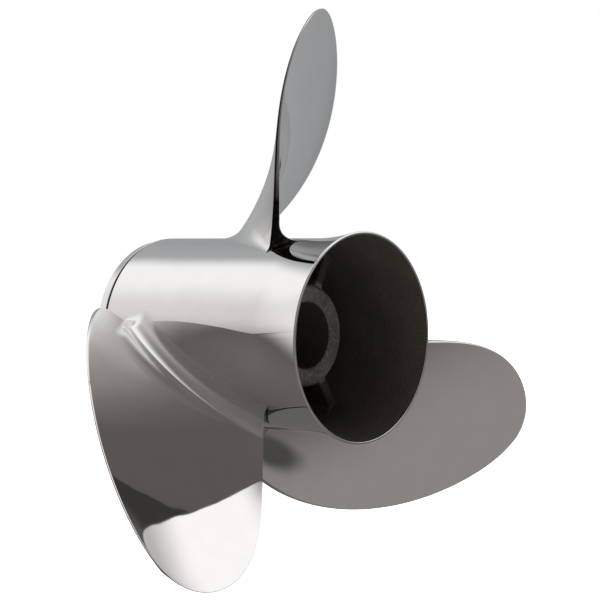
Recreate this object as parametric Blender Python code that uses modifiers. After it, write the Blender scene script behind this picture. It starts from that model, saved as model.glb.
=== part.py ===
"""Three-blade, right-hand, through-hub-exhaust boat propeller, cast in stainless steel.

Frame: +Y points forward along the shaft, +X to starboard and +Z up. The origin lies on the
shaft axis, in the plane of the inner hub's forward thrust face. One blade stands straight up.
Angles around the shaft run clockwise from +Z, seen from aft.
"""

import math

import bmesh
import bpy

MM = 0.001
GAP = 0.3 * MM
STEPS = 72
BLADE_COUNT = 3

# Barrel, with the flared exhaust ring at its aft end and the collar at its front end
BARREL_R = 55.0 * MM
BARREL_WALL = 4.0 * MM
FLARE_Y = -116.0 * MM
AFT_RIM_Y = -150.0 * MM
AFT_RIM_R = 59.0 * MM
RIM_WALL = 1.6 * MM
RIM_ROUND = 0.5 * MM
FLARE_STATIONS = 8
GROOVE_Y = 0.2 * MM
GROOVE_WIDTH = 1.6 * MM
GROOVE_EDGE = 0.4 * MM
COLLAR_R = 54.8 * MM
COLLAR_NOSE_R = 53.6 * MM
COLLAR_FRONT_Y = 9.0 * MM
COLLAR_ROUND = 1.2 * MM
COLLAR_MOUTH = 0.8 * MM

# Inner hub, a thick tube that the shaft's hub kit fits
HUB_R = 29.0 * MM
BORE_R = 19.0 * MM
HUB_AFT_Y = -109.0 * MM
HUB_CHAMFER = 1.2 * MM
BORE_CHAMFER = 1.0 * MM

# Ribs that carry the inner hub in the barrel
RIB_THICKNESS = 6.5 * MM
RIB_AFT_Y = -105.0 * MM
RIB_FRONT_Y = -5.0 * MM
RIB_FILLET = 4.0 * MM
RIB_FIRST_ANGLE = math.radians(27.0)
RIB_ARC_POINTS = 4

# Blade laws along the span, from root to tip, each as the control values of a Bezier curve
TIP_R = 180.5 * MM
TIP_SHY = 0.001 * MM
BLADE_SKEW = [math.radians(a) for a in (7.4, 13.3, -2.3, -7.2)]
BLADE_HALF_WIDTH = [math.radians(a) for a in (29.9, 42.2, 23.4)]
BLADE_STATION = [y * MM for y in (-61.7, -75.4, -109.7, -139.0)]
BLADE_PITCH = [p * MM for p in (525.0, 419.0, 493.0)]
BLADE_CAMBER = [c * MM for c in (2.0, 1.0)]
BLADE_THICKNESS = [t * MM for t in (6.4, 7.5, 6.0, 2.2)]
EDGE_THICKNESS = [t * MM for t in (5.4, 1.4, 1.2)]
NOSE_LENGTH = 2.5 * MM
LONGEST_NOSE = 0.25

# Root fillets: round the leading edge, amidships on either side, and round the trailing edge
NOSE_FILLET = 3.0 * MM
TAIL_FILLET = 3.0 * MM
FACE_FILLET = 14.0 * MM
BACK_FILLET = 8.0 * MM
FACE_TAIL_FILLET = 14.4 * MM
BACK_TAIL_FILLET = 3.2 * MM
NOSE_RUN = 0.1
TAIL_RUN = 0.4

# Stations of the blade's mesh
SPAN_STATIONS = 20
ROOT_STATIONS = 5
ROOT_CROWDING = 1.6
NOSE_STATIONS = 3
CHORD_STATIONS = 13
EDGE_STRIPS = 4


def clear_scene():
    for thing in list(bpy.data.objects):
        bpy.data.objects.remove(thing, do_unlink=True)


def steel(name, colour, roughness):
    material = bpy.data.materials.new(name)
    material.use_nodes = True
    shader = material.node_tree.nodes["Principled BSDF"]
    shader.inputs["Base Color"].default_value = (*colour, 1.0)
    shader.inputs["Metallic"].default_value = 1.0
    shader.inputs["Roughness"].default_value = roughness
    return material


def add_object(name, data, material, collection):
    thing = bpy.data.objects.new(name, data)
    data.materials.append(material)
    collection.objects.link(thing)
    return thing


def bezier(controls, t):
    """Value of a Bezier curve of any degree at t."""
    degree = len(controls) - 1
    return sum(
        math.comb(degree, i) * value * t**i * (1.0 - t) ** (degree - i)
        for i, value in enumerate(controls)
    )


def corner_arc(centre, radius, start, end, count):
    """Points on an arc in the profile plane, with its angles in degrees."""
    angles = (math.radians(start + (end - start) * i / (count - 1)) for i in range(count))
    return [(centre[0] + radius * math.cos(a), centre[1] + radius * math.sin(a)) for a in angles]


def turned(name, profile, material, collection):
    """A ring turned about the shaft from a closed profile of radius and station."""
    mesh = bpy.data.meshes.new(name)
    points = [(radius, 0.0, station) for radius, station in profile]
    edges = [(i, (i + 1) % len(points)) for i in range(len(points))]
    mesh.from_pydata(points, edges, [])
    ring = add_object(name, mesh, material, collection)
    ring.rotation_euler = (-math.pi / 2.0, 0.0, 0.0)
    screw = ring.modifiers.new("Turn", "SCREW")
    screw.steps = STEPS
    screw.render_steps = STEPS
    screw.use_merge_vertices = True
    screw.merge_threshold = 0.000001
    screw.use_smooth_shade = True
    return ring


def barrel(material, collection):
    inner = BARREL_R - BARREL_WALL
    profile = [
        (BARREL_R - GROOVE_EDGE, GROOVE_Y),
        (BARREL_R, GROOVE_Y - GROOVE_EDGE),
        (BARREL_R, FLARE_Y + GAP),
        (inner, FLARE_Y + GAP),
        (inner, GROOVE_Y),
    ]
    return turned("barrel", profile, material, collection)


def flare_law(t):
    """Smooth rise of the flare from the barrel at 0 to the rim at 1, steepest at the rim."""
    return t * t


def exhaust_ring(material, collection):
    length = FLARE_Y - AFT_RIM_Y
    outer = []
    inner = []
    for i in range(FLARE_STATIONS + 1):
        t = i / FLARE_STATIONS
        station = FLARE_Y - t * (length - RIM_ROUND)
        rise = (AFT_RIM_R - BARREL_R) * flare_law(t)
        wall = BARREL_WALL + (RIM_WALL - BARREL_WALL) * t
        outer.append((BARREL_R + rise, station))
        inner.append((BARREL_R + rise - wall, station))
    rim = [
        (AFT_RIM_R - RIM_ROUND, AFT_RIM_Y),
        (AFT_RIM_R - RIM_WALL + RIM_ROUND, AFT_RIM_Y),
    ]
    return turned("exhaust_ring", outer + rim + inner[::-1], material, collection)


def front_collar(material, collection):
    inner = BARREL_R - BARREL_WALL
    aft = GROOVE_Y + GAP
    shoulder = GROOVE_Y + GROOVE_WIDTH
    nose = corner_arc(
        (COLLAR_NOSE_R - COLLAR_ROUND, COLLAR_FRONT_Y - COLLAR_ROUND), COLLAR_ROUND, 90.0, 0.0, 4
    )
    profile = nose + [
        (COLLAR_R, shoulder + GROOVE_EDGE),
        (COLLAR_R - GROOVE_EDGE, shoulder),
        (BARREL_R - GROOVE_WIDTH, aft),
        (inner, aft),
        (inner, COLLAR_FRONT_Y - COLLAR_MOUTH),
        (inner + COLLAR_MOUTH, COLLAR_FRONT_Y),
    ]
    return turned("front_collar", profile, material, collection)


def inner_hub(material, collection):
    profile = [
        (HUB_R - HUB_CHAMFER, 0.0),
        (HUB_R, -HUB_CHAMFER),
        (HUB_R, HUB_AFT_Y + HUB_CHAMFER),
        (HUB_R - HUB_CHAMFER, HUB_AFT_Y),
        (BORE_R + BORE_CHAMFER, HUB_AFT_Y),
        (BORE_R, HUB_AFT_Y + BORE_CHAMFER),
        (BORE_R, -BORE_CHAMFER),
        (BORE_R + BORE_CHAMFER, 0.0),
    ]
    return turned("inner_hub", profile, material, collection)


def on_circle(radius, offset):
    """Outline point at a sideways offset on a circle about the shaft."""
    return (offset, math.sqrt(radius * radius - offset * offset))


def rib_outline():
    """Half of the rib's cross-section seen along the shaft, with a fillet at each end."""
    inner_r = HUB_R + GAP
    outer_r = BARREL_R - BARREL_WALL - GAP
    half = RIB_THICKNESS / 2.0
    foot = half + RIB_FILLET
    low = on_circle(inner_r, foot)
    high = on_circle(outer_r, foot)
    bends = [math.pi / 2.0 * i / RIB_ARC_POINTS for i in range(1, RIB_ARC_POINTS)]
    side = [on_circle(inner_r, foot / 2.0), low]
    side += [(foot - RIB_FILLET * math.sin(a), low[1] + RIB_FILLET * (1.0 - math.cos(a))) for a in bends]
    side.append((half, low[1] + RIB_FILLET))
    side.append((half, high[1] - RIB_FILLET))
    side += [(foot - RIB_FILLET * math.cos(a), high[1] - RIB_FILLET * (1.0 - math.sin(a))) for a in bends]
    side.append(high)
    side.append(on_circle(outer_r, foot / 2.0))
    return side


def rib(name, angle, material, collection):
    side = rib_outline()
    mirrored = [(-x, z) for x, z in reversed(side)]
    outline = side + [(0.0, BARREL_R - BARREL_WALL - GAP)] + mirrored + [(0.0, HUB_R + GAP)]
    curve = bpy.data.curves.new(name, "CURVE")
    curve.dimensions = "2D"
    curve.fill_mode = "BOTH"
    curve.extrude = (RIB_FRONT_Y - RIB_AFT_Y) / 2.0
    spline = curve.splines.new("POLY")
    spline.points.add(len(outline) - 1)
    for point, (x, z) in zip(spline.points, outline):
        point.co = (x, z, 0.0, 1.0)
    spline.use_cyclic_u = True
    piece = add_object(name, curve, material, collection)
    piece.rotation_euler = (math.pi / 2.0, angle, 0.0)
    piece.location = (0.0, (RIB_FRONT_Y + RIB_AFT_Y) / 2.0, 0.0)
    return piece


def fillet(height, radius):
    """Sideways growth of a concave fillet at a height above the barrel."""
    if height >= radius:
        return 0.0
    return radius - math.sqrt(radius * radius - (radius - height) ** 2)


def soft_step(t):
    """Smooth rise from 0 to 1, level at both ends."""
    t = min(max(t, 0.0), 1.0)
    return t * t * (3.0 - 2.0 * t)


def root_fillet(s, middle, tail):
    """Radius of a side's root fillet at a chord fraction, by its radii amidships and at the tail."""
    front = NOSE_FILLET + (middle - NOSE_FILLET) * soft_step(s / NOSE_RUN)
    return front + (tail - middle) * soft_step((s - 1.0 + TAIL_RUN) / TAIL_RUN)


def span_stations():
    """Radii from root to tip: close together in the root fillet and towards the tip."""
    root = BARREL_R + GAP
    top = BARREL_R + FACE_TAIL_FILLET
    radii = [root + (top - root) * (i / ROOT_STATIONS) ** ROOT_CROWDING for i in range(ROOT_STATIONS)]
    for i in range(SPAN_STATIONS):
        left = 1.0 - i / SPAN_STATIONS
        radii.append(TIP_R - (TIP_R - top) * left * left)
    return radii


def chord_stations(nose):
    """Fractions of the chord from leading to trailing edge, close together in the rounded nose."""
    front = [nose * (i / NOSE_STATIONS) ** 2 for i in range(1, NOSE_STATIONS)]
    rest = [nose + (1.0 - nose) * i / CHORD_STATIONS for i in range(CHORD_STATIONS + 1)]
    return front + rest


class BladeSection:
    """The blade cut by a cylinder about the shaft, with points given by angle and station."""

    def __init__(self, radius):
        self.radius = radius
        t = (radius - BARREL_R) / (TIP_R - BARREL_R)
        taper = math.sqrt(1.0 - t * t)
        self.height = radius - BARREL_R
        self.angle = bezier(BLADE_SKEW, t)
        self.half = taper * bezier(BLADE_HALF_WIDTH, t)
        self.station = bezier(BLADE_STATION, t)
        self.lead = bezier(BLADE_PITCH, t) / (2.0 * math.pi)
        self.camber = bezier(BLADE_CAMBER, t) * taper
        self.thick = bezier(BLADE_THICKNESS, t)
        self.edge = bezier(EDGE_THICKNESS, t)
        self.chord = 2.0 * self.half * math.hypot(radius, self.lead)
        self.nose = min(NOSE_LENGTH / self.chord, LONGEST_NOSE)

    def point(self, s, back):
        """Point at chord fraction s, on the aft face at back 0 or the forward back at back 1."""
        crown = 4.0 * s * (1.0 - s)
        full = self.edge + (self.thick - self.edge) * crown
        bend = self.camber * crown
        face = bend - fillet(self.height, root_fillet(s, FACE_FILLET, FACE_TAIL_FILLET))
        rear = bend + full + fillet(self.height, root_fillet(s, BACK_FILLET, BACK_TAIL_FILLET))
        if s < self.nose:
            left = 1.0 - s / self.nose
            middle = (face + rear) / 2.0
            swell = math.sqrt(1.0 - left * left)
            face = middle + (face - middle) * swell
            rear = middle + (rear - middle) * swell
        offset = face + (rear - face) * back
        slope = math.hypot(self.radius, self.lead)
        along = self.half * (1.0 - 2.0 * s)
        along += fillet(self.height, NOSE_FILLET) * (1.0 - s) ** 4 / slope
        along -= fillet(self.height, TAIL_FILLET) * s**4 / slope
        angle = self.angle + along - offset * self.lead / slope / self.radius
        station = self.station + self.lead * along + offset * self.radius / slope
        return (
            self.radius * math.sin(angle),
            station,
            self.radius * math.cos(angle),
        )


def blade_mesh(name):
    """A loft through cylindrical sections, closed by a root that follows the barrel and by a tip."""
    shape = bmesh.new()
    loops = []
    radii = span_stations()
    for radius in radii:
        section = BladeSection(radius)
        stations = chord_stations(section.nose)
        places = [(0.0, 0.5)] + [(s, 0.0) for s in stations]
        places += [(1.0, i / EDGE_STRIPS) for i in range(1, EDGE_STRIPS)]
        places += [(s, 1.0) for s in reversed(stations)]
        loops.append([shape.verts.new(section.point(s, back)) for s, back in places])
    for low, high in zip(loops, loops[1:]):
        for i in range(len(low)):
            j = (i + 1) % len(low)
            shape.faces.new((low[i], high[i], high[j], low[j]))
    tip = shape.verts.new(BladeSection(TIP_R - TIP_SHY).point(0.5, 0.5))
    last = loops[-1]
    for i in range(len(last)):
        shape.faces.new((last[i], tip, last[(i + 1) % len(last)]))
    close_root(shape, loops[0], BladeSection(radii[0]))
    bmesh.ops.recalc_face_normals(shape, faces=shape.faces)
    mesh = bpy.data.meshes.new(name)
    shape.to_mesh(mesh)
    shape.free()
    mesh.shade_smooth()
    return mesh


def close_root(shape, loop, section):
    """Fill the root section with strips whose points all lie on the cylinder."""
    stations = chord_stations(section.nose)
    count = len(stations)
    rows = []
    for i, s in enumerate(stations):
        face = loop[1 + i]
        back = loop[-1 - i]
        if i == count - 1:
            middle = loop[1 + count : 1 + count + EDGE_STRIPS - 1]
        else:
            middle = [shape.verts.new(section.point(s, j / EDGE_STRIPS)) for j in range(1, EDGE_STRIPS)]
        rows.append([face] + middle + [back])
    for j in range(EDGE_STRIPS):
        shape.faces.new((loop[0], rows[0][j], rows[0][j + 1]))
    for row, after in zip(rows, rows[1:]):
        for j in range(EDGE_STRIPS):
            shape.faces.new((row[j], after[j], after[j + 1], row[j + 1]))


def build():
    clear_scene()
    collection = bpy.data.collections.new("boat_propeller")
    bpy.context.scene.collection.children.link(collection)
    polished = steel("polished_stainless", (0.78, 0.77, 0.76), 0.06)
    cast = steel("cast_stainless", (0.16, 0.155, 0.15), 0.55)
    barrel(polished, collection)
    exhaust_ring(polished, collection)
    front_collar(polished, collection)
    inner_hub(cast, collection)
    step = 2.0 * math.pi / BLADE_COUNT
    for i in range(BLADE_COUNT):
        rib(f"rib_{i + 1}", RIB_FIRST_ANGLE + i * step, cast, collection)
    blade = blade_mesh("blade")
    for i in range(BLADE_COUNT):
        piece = add_object(f"blade_{i + 1}", blade, polished, collection)
        piece.rotation_euler = (0.0, i * step, 0.0)


build()
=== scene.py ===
"""The boat propeller dressed for a picture: mirror-polished outside, dull and dark inside.

Metres, in the frame of the part: +Y forward along the shaft, +X starboard, +Z up. Angles around
the shaft run clockwise from +Z, seen from aft.
"""

import math

import bpy
import numpy as np
from mathutils import Matrix, Vector


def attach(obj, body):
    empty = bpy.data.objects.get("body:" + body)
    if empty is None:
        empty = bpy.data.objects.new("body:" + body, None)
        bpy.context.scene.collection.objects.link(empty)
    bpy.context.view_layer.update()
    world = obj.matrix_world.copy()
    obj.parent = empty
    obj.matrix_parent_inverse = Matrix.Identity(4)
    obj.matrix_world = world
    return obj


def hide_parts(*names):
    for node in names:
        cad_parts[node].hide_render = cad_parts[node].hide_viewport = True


MM = 0.001
TURN = 2.0 * math.pi
QUARTER = math.pi / 2.0
BLADE_COUNT = 3

# Depth by which the ribs and blades reach into what carries them
SINK = 0.04 * MM

# Barrel with its flared end, and the collar in front of the groove
BARREL_R = 55.0 * MM
BARREL_WALL = 4.0 * MM
FLARE_Y = -116.0 * MM
AFT_RIM_Y = -150.0 * MM
AFT_RIM_R = 59.0 * MM
RIM_WALL = 1.6 * MM
RIM_INNER_ROUND = 0.3 * MM
RIM_OUTER_ROUND = 0.8 * MM
GROOVE_Y = 0.2 * MM
GROOVE_WIDTH = 1.6 * MM
GROOVE_EDGE = 0.4 * MM
COLLAR_R = 54.8 * MM
COLLAR_NOSE_R = 53.6 * MM
COLLAR_FRONT_Y = 9.0 * MM
COLLAR_ROUND = 1.2 * MM
COLLAR_MOUTH = 0.8 * MM

# Inner hub and the ribs that carry it
HUB_R = 29.0 * MM
BORE_R = 19.0 * MM
HUB_AFT_Y = -109.0 * MM
HUB_CHAMFER = 1.2 * MM
BORE_CHAMFER = 1.0 * MM
RIB_THICKNESS = 6.5 * MM
RIB_AFT_Y = -105.0 * MM
RIB_FRONT_Y = -5.0 * MM
RIB_FILLET = 4.0 * MM
RIB_ROUND = 1.6 * MM
RIB_FIRST_ANGLE = math.radians(27.0)

# Blade laws along the span, from root to tip, each as the control values of a Bezier curve
TIP_R = 180.5 * MM
BLADE_SKEW = [math.radians(a) for a in (7.4, 13.3, -2.3, -7.2)]
BLADE_HALF_WIDTH = [math.radians(a) for a in (29.9, 42.2, 23.4)]
BLADE_STATION = [y * MM for y in (-61.7, -75.4, -109.7, -139.0)]
BLADE_PITCH = [p * MM for p in (525.0, 419.0, 493.0)]
BLADE_CAMBER = [c * MM for c in (2.0, 1.0)]
BLADE_THICKNESS = [t * MM for t in (6.4, 7.5, 6.0, 2.2)]
EDGE_THICKNESS = [t * MM for t in (5.4, 1.4, 1.2)]
NOSE_LENGTH = 2.5 * MM
TAIL_FACE_ROUND = 0.5 * MM
TAIL_BACK_ROUND = 0.9 * MM

# Longest nose and tail rounding as shares of the chord, and deepest tail rounding of the thickness
LONGEST_NOSE = 0.25
LONGEST_TAIL = 0.1
DEEPEST_CORNER = 0.35

# Root fillets: round the leading edge, amidships on either side, and round the trailing edge
NOSE_FILLET = 3.0 * MM
TAIL_FILLET = 3.0 * MM
FACE_FILLET = 14.0 * MM
BACK_FILLET = 8.0 * MM
FACE_TAIL_FILLET = 14.4 * MM
BACK_TAIL_FILLET = 3.2 * MM

# Chord fractions over which the fillets change, and the power by which those of the edges fade
NOSE_RUN = 0.1
TAIL_RUN = 0.4
FILLET_POWER = 4

# A corner that turns more than this gets a point close by on either side, on stretches long enough
SHARP_TURN = math.radians(4.0)
HOLD = 0.12 * MM
SHORTEST_HELD = 3.0 * HOLD

# Fineness of the turned pieces: steps round the shaft, points on a round, stretches of a line
STEPS = 288
HUB_STEPS = 192
EDGE_POINTS = 5
LIP_POINTS = 9
COLLAR_NOSE_POINTS = 8
BARREL_STRETCHES = 24
INSIDE_STRETCHES = 12
FLARE_STRETCHES = 24
COLLAR_STRETCHES = 6
COLLAR_BORE_STRETCHES = 4
HUB_STRETCHES = 16
HUB_FACE_STRETCHES = 6

# Fineness of the ribs
RIB_FILLET_POINTS = 9
RIB_ROUND_POINTS = 6
RIB_SIDE_STRETCHES = 6
RIB_STRETCHES = 8

# Fineness of the blades: columns round the section and rows along the span
NOSE_COLUMNS = 9
CHORD_COLUMNS = 56
CORNER_COLUMNS = 5
EDGE_COLUMNS = 5
FILLET_ROWS = 20
SPAN_ROWS = 110

# Strip held flat beside a tail rounding, as a share of the rounding's size
CORNER_HOLD = 0.35

# Reach of the skirt under the root, in steps of the first two rows, and the last row's span share
SKIRT_REACH = 1.5
LAST_ROW = 0.9999

# Share of its height by which a blade is drawn in, and the least chord
TIP_TRIM = 0.0006
TINY = 1e-9

# Material slots of the barrel and collar, of the hub and of a blade
POLISHED, DULL = 0, 1
MACHINED, CAST, DARK_BORE = 0, 1, 2
SIDE, RIM, RIM_BACK = 0, 1, 2

# Middle part of a noise, which the finishes spread over their whole range
NOISE_SPAN = (0.3, 0.7)

# Mirror polish: two tones, least and most roughness, and the satin root of the blades
POLISH_TONES = ((0.735, 0.725, 0.72, 1.0), (0.79, 0.78, 0.775, 1.0))
POLISH_ROUGHNESS = (0.02, 0.05)
SATIN_ROUGHNESS = 0.28
SATIN_HEIGHT = 13.0 * MM

# Trailing edge: a painted shade tone at the root and its own tone further out, and the radii where the one
# turns to the other
EDGE_PAINTED_SHADE_TONES = ((0.02, 0.018, 0.016, 1.0), (0.62, 0.59, 0.57, 1.0))
# Rounded back corner of the trailing edge: painted shade, near black at the root and dark further out
EDGE_CORNER_PAINTED_SHADE_TONES = ((0.015, 0.014, 0.013, 1.0), (0.05, 0.047, 0.045, 1.0))
EDGE_SHADE_FADE = (82.0 * MM, 98.0 * MM)
EDGE_SHADE_STREAKS = (-0.08, 0.08)
EDGE_ROUGHNESS = 0.12

# Casting: dark and light tone of each place, its roughness, and how much of it the specks take
INSIDE_TONES = ((0.036, 0.030, 0.022, 1.0), (0.050, 0.042, 0.031, 1.0))
BORE_TONES = ((0.040, 0.034, 0.025, 1.0), (0.055, 0.047, 0.035, 1.0))
RIB_TONES = ((0.024, 0.020, 0.015, 1.0), (0.036, 0.030, 0.023, 1.0))
HUB_TONES = ((0.03, 0.028, 0.027, 1.0), (0.07, 0.067, 0.065, 1.0))
MACHINED_TONES = ((0.05, 0.048, 0.047, 1.0), (0.11, 0.105, 0.10, 1.0))
INSIDE_ROUGHNESS = 0.62
HUB_ROUGHNESS = 0.6
MACHINED_ROUGHNESS = 0.5
INSIDE_SPECKS = 0.1
HUB_SPECKS = 0.6
MACHINED_SPECKS = 0.45

# Casting, everywhere: metal share, share of the light tone, specks and spread of the roughness
CAST_METAL = 0.4
PATCH_SHARE = (0.0, 0.8)
SPECK_SPAN = (0.5, 0.7)
SPECK_GAIN = 2.2
GRAIN_SPREAD = (-0.08, 0.1)

# Painted highlight: a lighter foot of the ribs on the hub
RIB_FOOT_HIGHLIGHT_TONE = (0.22, 0.21, 0.20, 1.0)
RIB_FOOT_HIGHLIGHT_REACH = 4.5 * MM

# Colour sockets of a mix node: the share, the two colours and the result
MIX_SHARE, MIX_FIRST, MIX_SECOND, MIX_RESULT = 0, 6, 7, 2

# Camera
CAMERA_PLACE = (-0.71713, -0.72902, 0.05319)
CAMERA_BACK = (-0.7527, -0.6574, 0.0349)
CAMERA_LENS = 100.62
SENSOR = 36.0
NEAR_CLIP = 0.05
FAR_CLIP = 60.0

# Pale floor with some light of its own, and the two soft lights
WHITE = (1.0, 1.0, 1.0, 1.0)
FLOOR_Z = -0.30
FLOOR_HALF = 6.0
FLOOR_TONES = ((0.93, 0.93, 0.925, 1.0), (0.95, 0.95, 0.95, 1.0))
FLOOR_ROUGHNESS = 0.9
FLOOR_GLOW = 0.9
LIGHT_DISTANCE = 2.5
LIGHT_SIZE = 2.0

# Surroundings: a grey floor side, which turns to a white ceiling between two values
# of a direction's upward part, and a few large soft cards
HORIZON_BLEND = (-0.05, 0.5)
FLOOR_SIDE = (0.15, 0.14, 0.14, 1.0)
CEILING = (1.15, 1.15, 1.15, 1.0)
WARM = (1.0, 0.92, 0.88)
NEUTRAL = (1.0, 0.98, 0.97)
COOL = (0.95, 0.98, 1.0)

# Depth of every card towards the part and away from it, as a share of its distance
CARD_DEPTH = 0.9

# Each card: azimuth, elevation, half width, half height, roll, softness, tint, brightness
STUDIO_CARDS = {
    "dark room behind the camera": (-40, 35, 55, 50, 0, 0.3, WARM, 0.18),
    "warm wall aft": (-10, -10, 25, 70, 20, 0.6, WARM, 0.33),
    "port wall": (-85, 0, 20, 40, 0, 0.4, WARM, 0.17),
    "pale wall to port and forward": (-120, 20, 20, 30, -30, 0.9, WARM, 0.55),
    "white card forward": (-165, 10, 30, 12, 15, 0.8, NEUTRAL, 1.0),
    "grey wall forward": (145, 30, 25, 30, 0, 0.3, COOL, 0.5),
    "grey wall to starboard": (115, 0, 25, 60, -20, 0.4, COOL, 0.38),
    "white light to starboard": (55, 42, 28, 14, -20, 0.5, NEUTRAL, 1.25),
    "grey card beside the light": (80, 22, 14, 10, 0, 0.6, NEUTRAL, 0.6),
    "camera": (-42, -2, 9, 9, 0, 0.4, NEUTRAL, 0.08),
}


# Meshes


def new_object(name, data):
    """An object in the scene with its mesh, light or camera."""
    thing = bpy.data.objects.new(name, data)
    bpy.context.scene.collection.objects.link(thing)
    return thing


def grid_faces(rows, columns):
    """Quads of a grid of points held row by row, with its last column joined to the first."""
    i, j = np.meshgrid(np.arange(rows - 1), np.arange(columns), indexing="ij")
    k = (j + 1) % columns
    quads = np.stack([i * columns + j, (i + 1) * columns + j, (i + 1) * columns + k, i * columns + k], -1)
    return quads.reshape(-1, 4)


def smooth_mesh(name, points, faces, slots=None):
    """A smooth-shaded mesh, with a material slot for each face."""
    mesh = bpy.data.meshes.new(name)
    mesh.from_pydata([tuple(p) for p in points], [], [tuple(int(v) for v in f) for f in faces])
    if slots is not None:
        mesh.polygons.foreach_set("material_index", np.asarray(slots, np.int32))
    mesh.shade_smooth()
    mesh.update()
    return mesh


def held(profile, slots):
    """The profile with a point close to each sharp corner, so that shading stays flat beside it."""
    points = np.array(profile)
    steps = np.roll(points, -1, 0) - points
    lengths = np.hypot(steps[:, 0], steps[:, 1])
    ways = steps / lengths[:, None]
    turns = np.arccos(np.clip((ways * np.roll(ways, 1, 0)).sum(1), -1.0, 1.0))
    out = []
    marks = []
    for i, slot in enumerate(slots):
        out.append(tuple(points[i]))
        marks.append(slot)
        if lengths[i] < SHORTEST_HELD:
            continue
        if turns[i] > SHARP_TURN:
            out.append(tuple(points[i] + ways[i] * HOLD))
            marks.append(slot)
        if turns[(i + 1) % len(slots)] > SHARP_TURN:
            out.append(tuple(points[i] + ways[i] * (lengths[i] - HOLD)))
            marks.append(slot)
    return out, marks


def turned(name, profile, slots, steps=STEPS):
    """A ring turned about the shaft from a closed profile of radius and station, with a slot a segment."""
    profile, slots = held(profile, slots)
    angles = np.arange(steps) * TURN / steps
    r = np.array([p[0] for p in profile])[:, None]
    y = np.array([p[1] for p in profile])[:, None] + np.zeros(steps)
    points = np.stack([r * np.sin(angles), y, r * np.cos(angles)], -1).reshape(-1, 3)
    faces = grid_faces(len(profile) + 1, steps) % len(points)
    marks = np.repeat(np.asarray(slots), steps)
    return smooth_mesh(name, points, faces[:, ::-1], marks)


def arc(centre, radius, start, end, count):
    """Points of an arc in the plane of radius and station, with its angles in degrees."""
    angles = np.radians(np.linspace(start, end, count))
    return [(centre[0] + radius * math.cos(a), centre[1] + radius * math.sin(a)) for a in angles]


def line(start, end, count):
    """Points of a straight line, without its end."""
    return [
        (start[0] + (end[0] - start[0]) * i / count, start[1] + (end[1] - start[1]) * i / count)
        for i in range(count)
    ]


# Barrel, collar and hub


def flare(t):
    """Outer radius of the flared end, from the barrel at 0 to the rim at 1."""
    return BARREL_R + (AFT_RIM_R - BARREL_R) * t * t


def shell_profile():
    """Barrel and flared end in one, from the groove along the outside to the rim and back inside."""
    inner = BARREL_R - BARREL_WALL
    nose = arc((BARREL_R - GROOVE_EDGE, GROOVE_Y - GROOVE_EDGE), GROOVE_EDGE, 90.0, 0.0, EDGE_POINTS)
    outside = line(nose[-1], (BARREL_R, FLARE_Y), BARREL_STRETCHES)
    length = FLARE_Y - AFT_RIM_Y
    t = np.linspace(0.0, 1.0 - RIM_OUTER_ROUND / length, FLARE_STRETCHES + 1)
    outside += [(flare(v), FLARE_Y - v * length) for v in t]
    rim_r = flare(t[-1])
    outer_lip = (rim_r - RIM_OUTER_ROUND, AFT_RIM_Y + RIM_OUTER_ROUND)
    lip = arc(outer_lip, RIM_OUTER_ROUND, 0.0, -90.0, LIP_POINTS)[1:]
    inner_lip = (rim_r - RIM_WALL + RIM_INNER_ROUND, AFT_RIM_Y + RIM_INNER_ROUND)
    lip += arc(inner_lip, RIM_INNER_ROUND, -90.0, -180.0, EDGE_POINTS)
    walls = BARREL_WALL + (RIM_WALL - BARREL_WALL) * t
    inside = [(flare(v) - w, FLARE_Y - v * length) for v, w in zip(t, walls)][::-1]
    inside += line((inner, FLARE_Y), (inner, GROOVE_Y), INSIDE_STRETCHES)[1:] + [(inner, GROOVE_Y)]
    profile = nose[:-1] + outside + lip + inside
    bright = len(nose) - 1 + len(outside) + len(lip) - 2
    return profile, [POLISHED] * bright + [DULL] * (len(profile) - bright)


def collar_profile():
    """The collar from its rounded nose along the outside to the groove, and back through its bore."""
    inner = BARREL_R - BARREL_WALL
    shoulder = GROOVE_Y + GROOVE_WIDTH
    mouth = COLLAR_FRONT_Y - COLLAR_MOUTH
    nose_centre = (COLLAR_NOSE_R - COLLAR_ROUND, COLLAR_FRONT_Y - COLLAR_ROUND)
    nose = arc(nose_centre, COLLAR_ROUND, 90.0, 0.0, COLLAR_NOSE_POINTS)
    side = line(nose[-1], (COLLAR_R, shoulder + GROOVE_EDGE), COLLAR_STRETCHES)[1:]
    edge = arc((COLLAR_R - GROOVE_EDGE, shoulder + GROOVE_EDGE), GROOVE_EDGE, 0.0, -90.0, EDGE_POINTS)
    groove = [(BARREL_R - GROOVE_WIDTH, shoulder), (BARREL_R - GROOVE_WIDTH, GROOVE_Y)]
    bore = line((inner, GROOVE_Y), (inner, mouth), COLLAR_BORE_STRETCHES)
    bore += [(inner, mouth), (inner + COLLAR_MOUTH, COLLAR_FRONT_Y)]
    profile = nose + side + edge + groove + bore
    bright = len(nose) + len(side) + len(edge)
    return profile, [POLISHED] * (bright - 1) + [DULL] * (len(profile) - bright) + [POLISHED]


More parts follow.
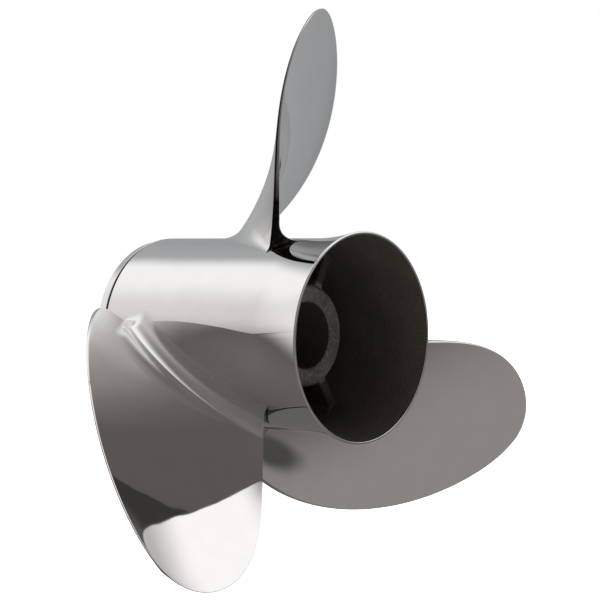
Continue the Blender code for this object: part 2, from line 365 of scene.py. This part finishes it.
def hub_profile():
    """The hub's aft face, bore, front face and outside, turned round so that its faces point out."""
    aft_edge = (BORE_R + BORE_CHAMFER, HUB_AFT_Y)
    front_edge = (HUB_R - HUB_CHAMFER, 0.0)
    bore_end = (BORE_R, -BORE_CHAMFER)
    outside_end = (HUB_R, HUB_AFT_Y + HUB_CHAMFER)
    face = line((HUB_R - HUB_CHAMFER, HUB_AFT_Y), aft_edge, HUB_FACE_STRETCHES) + [aft_edge]
    bore = line((BORE_R, HUB_AFT_Y + BORE_CHAMFER), bore_end, HUB_STRETCHES) + [bore_end]
    front = line((BORE_R + BORE_CHAMFER, 0.0), front_edge, HUB_FACE_STRETCHES) + [front_edge]
    outside = line((HUB_R, -HUB_CHAMFER), outside_end, HUB_STRETCHES) + [outside_end]
    profile = face + bore + front + outside
    slots = [CAST] * (len(outside) - 1) + [MACHINED] * (len(front) + 1) + [DARK_BORE] * (len(bore) - 1)
    return profile[::-1], slots + [MACHINED] * (len(profile) - len(slots))


# Ribs


def on_circle(radius, offset):
    """Point at a sideways offset on a circle about the shaft."""
    return (offset, math.sqrt(radius * radius - offset * offset))


def rib_side(inset):
    """One side of the rib's section from hub to barrel, drawn in by an inset at its rounded ends."""
    half = RIB_THICKNESS / 2.0 - inset
    low = on_circle(HUB_R - SINK, half + RIB_FILLET)
    high = on_circle(BARREL_R - BARREL_WALL + SINK, half + RIB_FILLET)
    bend = np.radians(np.linspace(0.0, 90.0, RIB_FILLET_POINTS))
    side = [(low[0] - RIB_FILLET * math.sin(a), low[1] + RIB_FILLET * (1.0 - math.cos(a))) for a in bend]
    side += line((half, low[1] + RIB_FILLET), (half, high[1] - RIB_FILLET), RIB_SIDE_STRETCHES)[1:]
    side += [(high[0] - RIB_FILLET * math.cos(a), high[1] - RIB_FILLET * (1.0 - math.sin(a))) for a in bend]
    return side


def rib_loop(inset):
    """The rib's whole section: one side and its mirror image."""
    side = rib_side(inset)
    return side + [(-x, z) for x, z in reversed(side)]


def rib_mesh(name):
    """The rib from its rounded aft end to its front end."""
    bend = np.radians(np.linspace(0.0, 90.0, RIB_ROUND_POINTS))
    ends = [(RIB_ROUND * (1.0 - math.sin(a)), RIB_ROUND * (1.0 - math.cos(a))) for a in bend]
    length = RIB_FRONT_Y - RIB_AFT_Y
    stations = [(RIB_AFT_Y + step, inset) for inset, step in ends]
    stations += [(RIB_AFT_Y + length * i / RIB_STRETCHES, 0.0) for i in range(1, RIB_STRETCHES)]
    stations += [(RIB_FRONT_Y - step, inset) for inset, step in reversed(ends)]
    points = []
    for y, inset in stations:
        points += [(x, y, z) for x, z in rib_loop(inset)]
    columns = len(rib_loop(0.0))
    faces = [tuple(f) for f in grid_faces(len(stations), columns)]
    half = columns // 2
    last = (len(stations) - 1) * columns
    for base, order in ((0, 1), (last, -1)):
        for j in range(half - 1):
            quad = [base + j, base + j + 1, base + columns - 2 - j, base + columns - 1 - j]
            faces.append(tuple(quad[::order]))
    return smooth_mesh(name, points, faces)


# Blades


def bezier(controls, t):
    """Value of a Bezier curve of any degree at t."""
    degree = len(controls) - 1
    return sum(
        math.comb(degree, i) * value * t**i * (1.0 - t) ** (degree - i) for i, value in enumerate(controls)
    )


def fillet(height, radius):
    """Sideways growth of a concave fillet at a height above the barrel."""
    left = np.clip(radius - height, 0.0, radius)
    return radius - np.sqrt(radius * radius - left * left)


def soft_step(t):
    """Smooth rise from 0 to 1, level at both ends."""
    t = np.clip(t, 0.0, 1.0)
    return t * t * (3.0 - 2.0 * t)


def root_fillet(s, middle, tail):
    """Radius of a side's root fillet at a chord fraction, by its radii amidships and at the tail."""
    front = NOSE_FILLET + (middle - NOSE_FILLET) * soft_step(s / NOSE_RUN)
    return front + (tail - middle) * soft_step((s - 1.0 + TAIL_RUN) / TAIL_RUN)


def blade_laws(radius):
    """Share of the span, half width in angle, lead and slope length for a radian, and chord."""
    t = np.clip((radius - BARREL_R) / (TIP_R - BARREL_R), 0.0, 1.0)
    half = np.sqrt(1.0 - t * t) * bezier(BLADE_HALF_WIDTH, t)
    lead = bezier(BLADE_PITCH, t) / TURN
    slope = np.hypot(radius, lead)
    chord = np.maximum(2.0 * half * slope, TINY)
    return t, half, lead, slope, chord


def blade_points(radius, s, back):
    """Points of the blade at radii, chord fractions and shares from face to back, as arrays."""
    height = radius - BARREL_R
    t, half, lead, slope, chord = blade_laws(radius)
    crown = 4.0 * s * (1.0 - s)
    edge = bezier(EDGE_THICKNESS, t)
    full = edge + (bezier(BLADE_THICKNESS, t) - edge) * crown
    bend = bezier(BLADE_CAMBER, t) * np.sqrt(1.0 - t * t) * crown
    face = bend - fillet(height, root_fillet(s, FACE_FILLET, FACE_TAIL_FILLET))
    rear = bend + full + fillet(height, root_fillet(s, BACK_FILLET, BACK_TAIL_FILLET))
    nose = np.minimum(NOSE_LENGTH / chord, LONGEST_NOSE)
    left = np.clip(1.0 - s / nose, 0.0, 1.0)
    swell = np.sqrt(1.0 - left * left)
    middle = (face + rear) / 2.0
    offset = middle + (rear - face) * (back - 0.5) * swell
    along = half * (1.0 - 2.0 * s) + fillet(height, NOSE_FILLET) * (1.0 - s) ** FILLET_POWER / slope
    along = along - fillet(height, TAIL_FILLET) * s**FILLET_POWER / slope
    angle = bezier(BLADE_SKEW, t) + along - offset * lead / slope / radius
    station = bezier(BLADE_STATION, t) + lead * along + offset * radius / slope
    trimmed = radius - TIP_TRIM * height
    return np.stack([trimmed * np.sin(angle), station, trimmed * np.cos(angle)], -1)


def tail_thickness(radius):
    """Thickness of the blade at its trailing edge, root fillets included."""
    height = radius - BARREL_R
    t = np.clip(height / (TIP_R - BARREL_R), 0.0, 1.0)
    return bezier(EDGE_THICKNESS, t) + fillet(height, FACE_TAIL_FILLET) + fillet(height, BACK_TAIL_FILLET)


def tail_corner(radius, chord, size):
    """Chord fractions and depths of a rounded corner between a side of the blade and its tail."""
    along = np.minimum(size / chord, LONGEST_TAIL)
    depth = np.minimum(size / tail_thickness(radius), DEEPEST_CORNER)
    turn = np.linspace(0.0, QUARTER, CORNER_COLUMNS + 1)
    s = [1.0 - along * (1.0 - math.sin(a)) for a in turn]
    inward = [depth * (1.0 - math.cos(a)) for a in turn]
    return 1.0 - (1.0 + CORNER_HOLD) * along, s, inward, (1.0 + CORNER_HOLD) * depth


def blade_columns(radius):
    """Chord fraction and share from face to back of each column, from the nose round by the tail."""
    chord = blade_laws(radius)[4]
    nose = np.minimum(NOSE_LENGTH / chord, LONGEST_NOSE)
    front = [nose * (1.0 - math.cos(a)) for a in np.linspace(0.0, QUARTER, NOSE_COLUMNS + 1)[1:-1]]
    face_end, face_s, face_in, rim_start = tail_corner(radius, chord, TAIL_FACE_ROUND)
    back_end, back_s, back_in, rim_end = tail_corner(radius, chord, TAIL_BACK_ROUND)
    shares = [i / CHORD_COLUMNS for i in range(CHORD_COLUMNS + 1)]
    face = front + [nose + (face_end - nose) * v for v in shares]
    rear = front + [nose + (back_end - nose) * v for v in shares]
    rim = [rim_start + (1.0 - rim_end - rim_start) * i / EDGE_COLUMNS for i in range(EDGE_COLUMNS + 1)]
    none = np.zeros_like(nose)
    s = [none] + face + face_s + [none + 1.0] * len(rim) + back_s[::-1] + rear[::-1]
    back = [none + 0.5] + [none] * len(face) + face_in + rim
    back += [1.0 - v for v in back_in[::-1]] + [none + 1.0] * len(rear)
    return np.array(s), np.array(back)


def rim_slot(column):
    """Material of a column of faces: the sides, the flat trailing edge or its rounded back corner, the last
    two with painted shade.
    """
    rim = NOSE_COLUMNS + CHORD_COLUMNS + CORNER_COLUMNS + 1
    back = rim + EDGE_COLUMNS + 1
    if rim <= column < back:
        return RIM
    return RIM_BACK if back <= column < back + CORNER_COLUMNS else SIDE


def each_column(radii):
    """Chord fraction and share of every column, each taken at its own radius."""
    s, back = blade_columns(radii)
    own = np.arange(len(radii))
    return s[own, own], back[own, own]


def blade_mesh(name):
    """The blade from a root that runs out flush on the barrel to its rounded tip."""
    span = TIP_R - BARREL_R
    rows = []
    s, back = (v[:, 0] for v in blade_columns(np.array([BARREL_R])))
    on_face = root_fillet(s, FACE_FILLET, FACE_TAIL_FILLET)
    on_back = root_fillet(s, BACK_FILLET, BACK_TAIL_FILLET)
    radius_of = on_face * (1.0 - back) + on_back * back
    for a in np.linspace(0.0, QUARTER, FILLET_ROWS + 1)[:-1]:
        radii = BARREL_R + radius_of * (1.0 - math.cos(a))
        rows.append(blade_points(radii, *each_column(radii)))
    skirt = rows[0] + (rows[0] - rows[1]) * SKIRT_REACH
    skirt *= ((BARREL_R - SINK) / np.hypot(skirt[:, 0], skirt[:, 2]))[:, None] * [1, 0, 1] + [0, 1, 0]
    rows.insert(0, skirt)
    for u in 1.0 - (1.0 - np.linspace(0.0, 1.0, SPAN_ROWS + 1)[:-1]) ** 2:
        radii = BARREL_R + np.minimum(radius_of + (span - radius_of) * u, LAST_ROW * span)
        rows.append(blade_points(radii, *each_column(radii)))
    columns = len(s)
    middle = np.array([0.5])
    points = np.concatenate(rows + [blade_points(np.array([TIP_R]), middle, middle)])
    faces = [tuple(f) for f in grid_faces(len(rows), columns)]
    last = (len(rows) - 1) * columns
    tip = len(points) - 1
    faces += [(last + j, tip, last + (j + 1) % columns) for j in range(columns)]
    return smooth_mesh(name, points, faces, [rim_slot(i % columns) for i in range(len(faces))])


# Materials


class Nodes:
    """A small helper that adds shader nodes and links them."""

    def __init__(self, tree):
        self.tree = tree

    def add(self, kind, inputs=None, **settings):
        """A node with its settings, and with a value or a link for each of the inputs."""
        node = self.tree.nodes.new(kind)
        for key, value in settings.items():
            setattr(node, key, value)
        for key, value in (inputs or {}).items():
            if isinstance(value, bpy.types.NodeSocket):
                self.tree.links.new(value, node.inputs[key])
            else:
                node.inputs[key].default_value = value
        return node

    def link(self, source, target):
        self.tree.links.new(source, target)


def new_material(name):
    """A material with its node helper and its shader."""
    material = bpy.data.materials.new(name)
    material.use_nodes = True
    nodes = Nodes(material.node_tree)
    shader = material.node_tree.nodes["Principled BSDF"]
    return material, nodes, shader


def noise(nodes, place, scale, detail=3.0, roughness=0.5):
    """Noise from 0 to 1, whose scale is about the number of its lumps in a metre."""
    inputs = {"Vector": place, "Scale": scale, "Detail": detail, "Roughness": roughness}
    return nodes.add("ShaderNodeTexNoise", inputs).outputs["Fac"]


def mapped(nodes, value, span, result, rise="LINEAR"):
    """The value carried from one span to another, and held at its ends."""
    inputs = {
        "Value": value,
        "From Min": span[0],
        "From Max": span[1],
        "To Min": result[0],
        "To Max": result[1],
    }
    return nodes.add("ShaderNodeMapRange", inputs, interpolation_type=rise).outputs["Result"]


def bumped(nodes, height, strength, distance, normal=None):
    """Normal of a bumpy surface, on top of another bump where one is given."""
    inputs = {"Height": height, "Strength": strength, "Distance": distance}
    if normal is not None:
        inputs["Normal"] = normal
    return nodes.add("ShaderNodeBump", inputs).outputs["Normal"]


def mixed(nodes, share, first, second):
    """The first colour at share 0, the second at share 1."""
    inputs = {MIX_SHARE: share, MIX_FIRST: first, MIX_SECOND: second}
    return nodes.add("ShaderNodeMix", inputs, data_type="RGBA").outputs[MIX_RESULT]


def length_of(nodes, vector):
    return nodes.add("ShaderNodeVectorMath", {0: vector}, operation="LENGTH").outputs["Value"]


def shaft_distance(nodes, place):
    """Distance from the shaft's axis of a place on the part."""
    flat = nodes.add("ShaderNodeVectorMath", {0: place, 1: (1.0, 0.0, 1.0)}, operation="MULTIPLY")
    return length_of(nodes, flat.outputs["Vector"])


def polished_steel(name, root_roughness):
    """Mirror polish: slow waves of the grinding, a faint haze, fine scratches and a softer root."""
    material, nodes, shader = new_material(name)
    place = nodes.add("ShaderNodeTexCoord").outputs["Object"]
    wave = noise(nodes, place, scale=32.0, detail=1.0)
    haze = noise(nodes, place, scale=90.0, detail=4.0)
    fine = noise(nodes, place, scale=1400.0, detail=2.0)
    shader.inputs["Metallic"].default_value = 1.0
    nodes.link(mixed(nodes, haze, *POLISH_TONES), shader.inputs["Base Color"])
    rough = mapped(nodes, haze, NOISE_SPAN, POLISH_ROUGHNESS)
    if root_roughness > 0.0:
        away = shaft_distance(nodes, place)
        root = mapped(nodes, away, (BARREL_R, BARREL_R + SATIN_HEIGHT), (root_roughness, 0.0))
        rough = nodes.add("ShaderNodeMath", {0: rough, 1: root}, operation="MAXIMUM").outputs["Value"]
    nodes.link(rough, shader.inputs["Roughness"])
    normal = bumped(nodes, wave, strength=0.25, distance=0.8 * MM)
    normal = bumped(nodes, fine, strength=0.02, distance=0.1 * MM, normal=normal)
    nodes.link(normal, shader.inputs["Normal"])
    return material


def edge_steel_painted_shade(name, root, outer):
    """The trailing edge, with painted shade: one tone at the root and another further out, with streaks
    between.
    """
    material, nodes, shader = new_material(name)
    place = nodes.add("ShaderNodeTexCoord").outputs["Object"]
    away = mapped(nodes, shaft_distance(nodes, place), EDGE_SHADE_FADE, (0.0, 1.0))
    streaks = mapped(nodes, noise(nodes, place, scale=300.0), NOISE_SPAN, EDGE_SHADE_STREAKS)
    # Painted shade: the root tone darkens the edge near the barrel and fades out between two radii, with
    # noisy streaks
    share = nodes.add("ShaderNodeMath", {0: away, 1: streaks}, operation="ADD", use_clamp=True)
    nodes.link(mixed(nodes, share.outputs["Value"], root, outer), shader.inputs["Base Color"])
    shader.inputs["Metallic"].default_value = 1.0
    shader.inputs["Roughness"].default_value = EDGE_ROUGHNESS
    return material


def cast_steel(name, tones, rough, speckle, foot_highlight=None):
    """Dull casting: blasted grain, specks and slow patches, and a painted highlight, a lighter foot, where
    one is given.
    """
    material, nodes, shader = new_material(name)
    place = nodes.add("ShaderNodeTexCoord").outputs["Object"]
    patches = noise(nodes, place, scale=60.0, detail=4.0)
    grain = noise(nodes, place, scale=900.0, detail=4.0, roughness=0.7)
    specks = mapped(nodes, noise(nodes, place, scale=700.0, detail=2.0), SPECK_SPAN, (0.0, speckle))
    colour = mixed(nodes, mapped(nodes, patches, NOISE_SPAN, PATCH_SHARE), *tones)
    if foot_highlight is not None:
        # Painted highlight: a lighter tone on the rib's foot, within a few millimetres of the hub
        foot_highlight_share = mapped(nodes, shaft_distance(nodes, place), (HUB_R, HUB_R + RIB_FOOT_HIGHLIGHT_REACH), (1.0, 0.0))
        colour = mixed(nodes, foot_highlight_share, colour, foot_highlight)
    speck_tone = tuple(min(1.0, c * SPECK_GAIN) for c in tones[1])
    nodes.link(mixed(nodes, specks, colour, speck_tone), shader.inputs["Base Color"])
    shader.inputs["Metallic"].default_value = CAST_METAL
    spread = [rough + change for change in GRAIN_SPREAD]
    nodes.link(mapped(nodes, grain, NOISE_SPAN, spread), shader.inputs["Roughness"])
    nodes.link(bumped(nodes, grain, strength=0.5, distance=0.3 * MM), shader.inputs["Normal"])
    return material


# Assembly


def place_piece(name, mesh, materials, slot_name, *nodes):
    """A piece with its materials, which stands for the solids named last."""
    piece = new_object(name, mesh)
    for material in materials:
        piece.data.materials.append(material)
    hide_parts(*nodes)
    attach(piece, "root")


def build_propeller():
    bright = polished_steel("polished_stainless", 0.0)
    blade_steel = polished_steel("polished_blade_steel", SATIN_ROUGHNESS)
    # The trailing edge and its rounded back corner carry painted shade
    rim = edge_steel_painted_shade("edge_steel_painted_shade", *EDGE_PAINTED_SHADE_TONES)
    rim_back = edge_steel_painted_shade("edge_corner_painted_shade", *EDGE_CORNER_PAINTED_SHADE_TONES)
    inside = cast_steel("cast_inside", INSIDE_TONES, INSIDE_ROUGHNESS, INSIDE_SPECKS)
    bore = cast_steel("cast_bore", BORE_TONES, INSIDE_ROUGHNESS, INSIDE_SPECKS)
    cast = cast_steel("cast_hub", HUB_TONES, HUB_ROUGHNESS, HUB_SPECKS)
    # Ribs with a painted highlight at their foot on the hub
    rib_cast = cast_steel("cast_rib", RIB_TONES, INSIDE_ROUGHNESS, INSIDE_SPECKS, RIB_FOOT_HIGHLIGHT_TONE)
    machined = cast_steel("machined_hub", MACHINED_TONES, MACHINED_ROUGHNESS, MACHINED_SPECKS)
    shell = turned("barrel_shell", *shell_profile())
    place_piece("barrel_shell", shell, [bright, inside], "barrel", "barrel", "exhaust_ring")
    collar = turned("collar_ring", *collar_profile())
    place_piece("collar_ring", collar, [bright, inside], "front_collar", "front_collar")
    hub = turned("hub_tube", *hub_profile(), steps=HUB_STEPS)
    place_piece("hub_tube", hub, [machined, cast, bore], "inner_hub", "inner_hub")
    for i in range(BLADE_COUNT):
        turn = i * TURN / BLADE_COUNT
        rib = rib_mesh(f"hub_rib_{i + 1}")
        rib.transform(Matrix.Rotation(RIB_FIRST_ANGLE + turn, 4, "Y"))
        place_piece(f"hub_rib_{i + 1}", rib, [rib_cast], f"rib_{i + 1}", f"rib_{i + 1}")
        blade = blade_mesh(f"polished_blade_{i + 1}")
        blade.transform(Matrix.Rotation(turn, 4, "Y"))
        finishes = [blade_steel, rim, rim_back]
        place_piece(f"polished_blade_{i + 1}", blade, finishes, f"blade_{i + 1}", f"blade_{i + 1}")


# Studio


def direction(azimuth, elevation):
    """Unit vector; azimuth 0 points aft, 90 to starboard, -90 to port."""
    a = math.radians(azimuth)
    e = math.radians(elevation)
    return Vector((math.sin(a) * math.cos(e), -math.cos(a) * math.cos(e), math.sin(e)))


def card_axes(azimuth, elevation, roll):
    """Sideways, upward and outward unit vectors of a card, turned about its middle by a roll."""
    a = math.radians(azimuth)
    out = direction(azimuth, elevation)
    side = Vector((math.cos(a), math.sin(a), 0.0))
    turn = Matrix.Rotation(math.radians(roll), 3, out)
    return turn @ side, turn @ out.cross(side), out


def studio_card(nodes, look, below, azimuth, elevation, width, height, roll, softness, tint, brightness):
    """An oval soft card in the surroundings, with half width and half height in degrees."""
    colour = [brightness * share for share in tint]
    side, up, out = card_axes(azimuth, elevation, roll)
    turn = Matrix((side, up, out)).transposed().to_euler()
    scale = (math.sin(math.radians(width)), math.sin(math.radians(height)), CARD_DEPTH)
    inputs = {"Vector": look, "Location": out, "Rotation": turn, "Scale": scale}
    place = nodes.add("ShaderNodeMapping", inputs, vector_type="TEXTURE").outputs["Vector"]
    edge = (1.0 - softness, 1.0 + softness)
    share = mapped(nodes, length_of(nodes, place), edge, (1.0, 0.0), "SMOOTHSTEP")
    return mixed(nodes, share, below, (*colour, 1.0))


def studio_world():
    """What the polish reflects: floor side, ceiling and cards, with white for the camera behind."""
    world = bpy.data.worlds.new("studio")
    bpy.context.scene.world = world
    world.use_nodes = True
    tree = world.node_tree
    tree.nodes.clear()
    nodes = Nodes(tree)
    look = nodes.add("ShaderNodeTexCoord").outputs["Generated"]
    height = nodes.add("ShaderNodeSeparateXYZ", {0: look}).outputs["Z"]
    rise = mapped(nodes, height, HORIZON_BLEND, (0.0, 1.0), "SMOOTHSTEP")
    colour = mixed(nodes, rise, FLOOR_SIDE, CEILING)
    for card in STUDIO_CARDS.values():
        colour = studio_card(nodes, look, colour, *card)
    seen = nodes.add("ShaderNodeLightPath").outputs["Is Camera Ray"]
    colour = mixed(nodes, seen, colour, WHITE)
    surface = nodes.add("ShaderNodeBackground", {"Color": colour})
    output = nodes.add("ShaderNodeOutputWorld")
    nodes.link(surface.outputs["Background"], output.inputs["Surface"])


def studio_floor():
    """A pale floor below the part, which doesn't show in reflections."""
    mesh = bpy.data.meshes.new("floor")
    signs = ((-1, -1), (1, -1), (1, 1), (-1, 1))
    corners = [(x * FLOOR_HALF, y * FLOOR_HALF, FLOOR_Z) for x, y in signs]
    mesh.from_pydata(corners, [], [(0, 1, 2, 3)])
    floor = new_object("floor", mesh)
    material, nodes, shader = new_material("pale_floor")
    place = nodes.add("ShaderNodeTexCoord").outputs["Object"]
    patches = noise(nodes, place, scale=6.0)
    nodes.link(mixed(nodes, patches, *FLOOR_TONES), shader.inputs["Base Color"])
    shader.inputs["Roughness"].default_value = FLOOR_ROUGHNESS
    shader.inputs["Emission Color"].default_value = WHITE
    shader.inputs["Emission Strength"].default_value = FLOOR_GLOW
    mesh.materials.append(material)
    floor.visible_glossy = False


def soft_light(name, azimuth, elevation, power):
    """A large round light that faces the part and doesn't show in reflections."""
    light = bpy.data.lights.new(name, "AREA")
    light.shape = "DISK"
    light.size = LIGHT_SIZE
    light.energy = power
    thing = new_object(name, light)
    axis = direction(azimuth, elevation)
    thing.location = axis * LIGHT_DISTANCE
    thing.rotation_euler = axis.to_track_quat("Z", "Y").to_euler()
    thing.visible_glossy = False
    thing.visible_camera = False


def studio_camera():
    data = bpy.data.cameras.new("camera")
    data.lens = CAMERA_LENS
    data.sensor_width = SENSOR
    data.clip_start = NEAR_CLIP
    data.clip_end = FAR_CLIP
    camera = new_object("camera", data)
    camera.location = CAMERA_PLACE
    camera.rotation_mode = "QUATERNION"
    camera.rotation_quaternion = (-Vector(CAMERA_BACK)).to_track_quat("-Z", "Y")
    bpy.context.scene.camera = camera


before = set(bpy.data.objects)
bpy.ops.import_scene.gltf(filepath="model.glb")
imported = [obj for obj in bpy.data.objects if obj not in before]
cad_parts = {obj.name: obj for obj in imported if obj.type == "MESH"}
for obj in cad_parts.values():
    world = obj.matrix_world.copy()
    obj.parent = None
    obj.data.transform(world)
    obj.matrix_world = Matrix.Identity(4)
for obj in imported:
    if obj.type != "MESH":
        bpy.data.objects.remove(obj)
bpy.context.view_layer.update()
build_propeller()
studio_world()
studio_floor()
soft_light("soft_above", azimuth=200.0, elevation=55.0, power=25.0)
soft_light("soft_aft_port", azimuth=-60.0, elevation=30.0, power=12.0)
studio_camera()
bpy.context.scene.view_settings.view_transform = "Standard"
